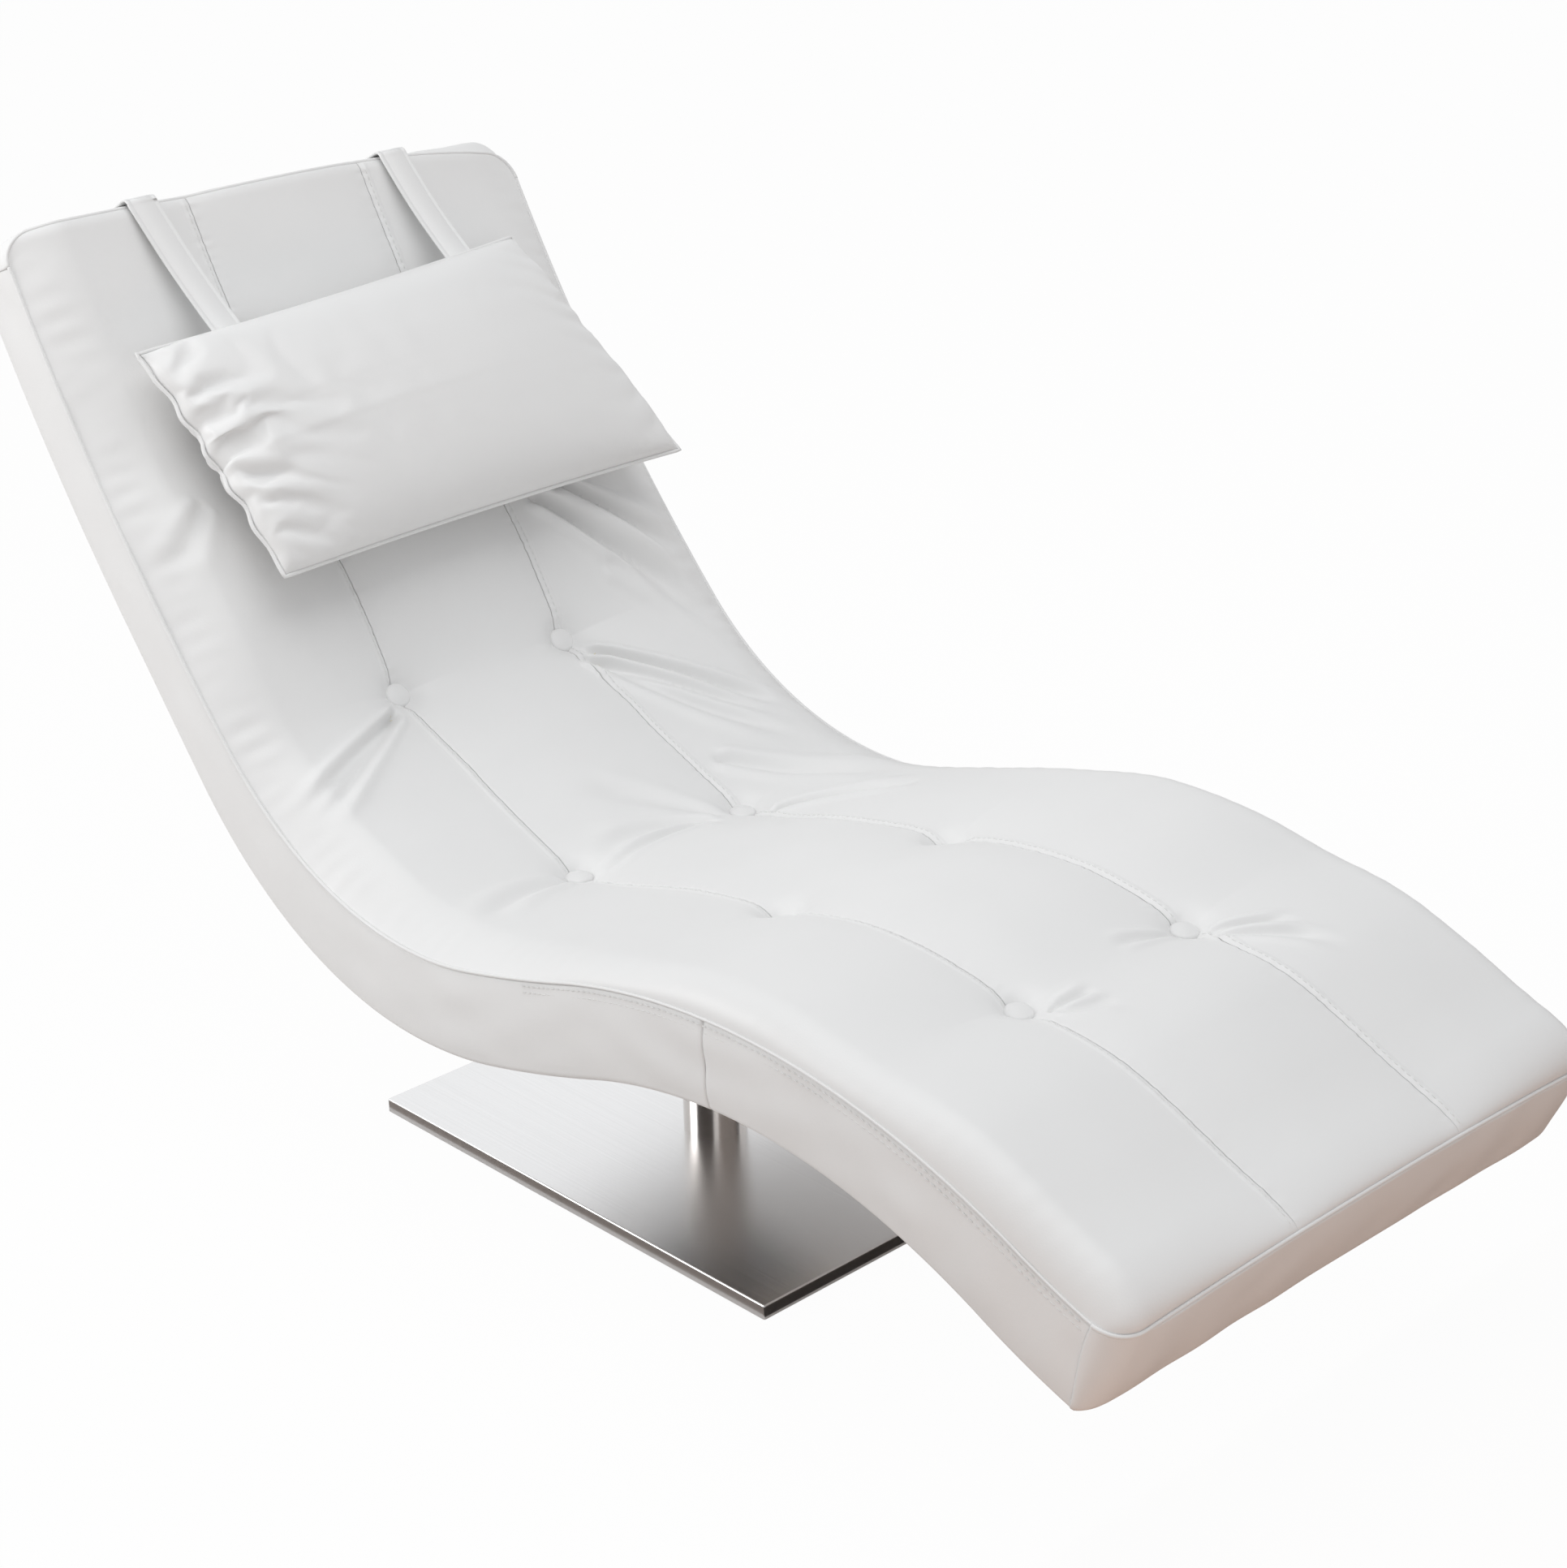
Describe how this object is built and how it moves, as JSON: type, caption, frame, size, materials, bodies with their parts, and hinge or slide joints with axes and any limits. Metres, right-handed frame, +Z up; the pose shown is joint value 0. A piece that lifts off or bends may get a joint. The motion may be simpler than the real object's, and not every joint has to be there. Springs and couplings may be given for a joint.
{
  "type": "spa relaxation lounger",
  "caption": "Upholstered S-shaped relaxation lounger with a tufted top and a strapped head pillow, on a swivelling round column and a flat rectangular plate.",
  "frame": {"origin": "on the swivel axis at the floor, under the middle of the base plate", "axes": "+X along the lounger to the foot end, +Y to the left of the person lying on it, +Z up"},
  "size_m": [1.5338, 0.6336, 0.8889],
  "materials": {
    "white_cover": "satin",
    "brushed_steel": "satin",
    "polished_steel": "polished",
    "bearing_steel": "polished",
    "zinc_steel": "satin",
    "black_steel": "satin",
    "bronze": "satin",
    "dark_plastic": "matte",
    "felt": "matte",
    "plywood": "matte",
    "foam": "matte",
    "twine": "matte",
    "hook_and_loop": "matte"
  },
  "bodies": {
    "base": {"floor_underlay": "felt", "base_core_plate": "black_steel", "base_cover_sheet": "brushed_steel", "column_tube": "polished_steel", "column_foot_plug": "zinc_steel", "column_screws": "zinc_steel", "column_head_housing": "polished_steel", "upper_bush": "bronze", "lower_bush_carrier": "zinc_steel", "lower_bush": "bronze", "lower_thrust_washer": "bearing_steel"},
    "bearing_cage": {"thrust_cage": "bronze", "thrust_balls": "bearing_steel"},
    "seat": {"upper_thrust_washer": "bearing_steel", "swivel_spindle": "zinc_steel", "retainer_washer": "zinc_steel", "retainer_screw": "zinc_steel", "bearing_cover_ring": "dark_plastic", "mounting_plate": "black_steel", "mounting_bolts": "zinc_steel", "mounting_tee_nuts": "zinc_steel", "mounting_block": "plywood", "side_rail_left": "plywood", "side_rail_right": "plywood", "frame_screws": "zinc_steel", "deck_board": "plywood", "foam_slab": "foam", "side_pads": "foam", "end_pads": "foam", "top_panel_centre": "white_cover", "top_panel_left": "white_cover", "top_panel_right": "white_cover", "side_band_left_head": "white_cover", "side_band_left_foot": "white_cover", "side_band_right_head": "white_cover", "side_band_right_foot": "white_cover", "head_band": "white_cover", "foot_band": "white_cover", "back_cover": "white_cover", "side_piping": "white_cover", "end_piping": "white_cover", "tuft_buttons": "white_cover", "tuft_twines": "twine", "tuft_anchors": "dark_plastic", "strap_left": "white_cover", "strap_right": "white_cover", "loop_patches": "hook_and_loop", "cross_rail_1": "plywood", "cross_rail_2": "plywood", "cross_rail_3": "plywood", "cross_rail_4": "plywood", "cross_rail_5": "plywood", "cross_rail_6": "plywood"},
    "pillow": {"pillow_filling": "foam", "pillow_cover_face": "white_cover", "pillow_cover_back": "white_cover"},
    "strap_tails": {"strap_tail_left": "white_cover", "strap_tail_right": "white_cover", "hook_patches": "hook_and_loop"}
  },
  "joints": [
    {"name": "swivel", "type": "hinge", "parent": "base", "child": "seat", "pos_m": [0, 0, 0], "axis": [0, 0, 1], "continuous": true},
    {"name": "cage_spin", "type": "hinge", "parent": "base", "child": "bearing_cage", "pos_m": [0, 0, 0], "axis": [0, 0, 1], "continuous": true},
    {"name": "pillow_slide", "type": "slide", "parent": "seat", "child": "pillow", "axis": [0.5841, 0, -0.8116], "range_m": [-0.05, 0.05], "deforming": ["strap_left", "strap_right"]},
    {"name": "tail_slide", "type": "slide", "parent": "seat", "child": "strap_tails", "axis": [0.5393, 0, -0.8421], "range_m": [-0.05, 0.05]}
  ],
  "couplings": [
    {"joint": "cage_spin", "follows": "swivel", "ratio": 0.5},
    {"joint": "tail_slide", "follows": "pillow_slide", "ratio": -1}
  ]
}
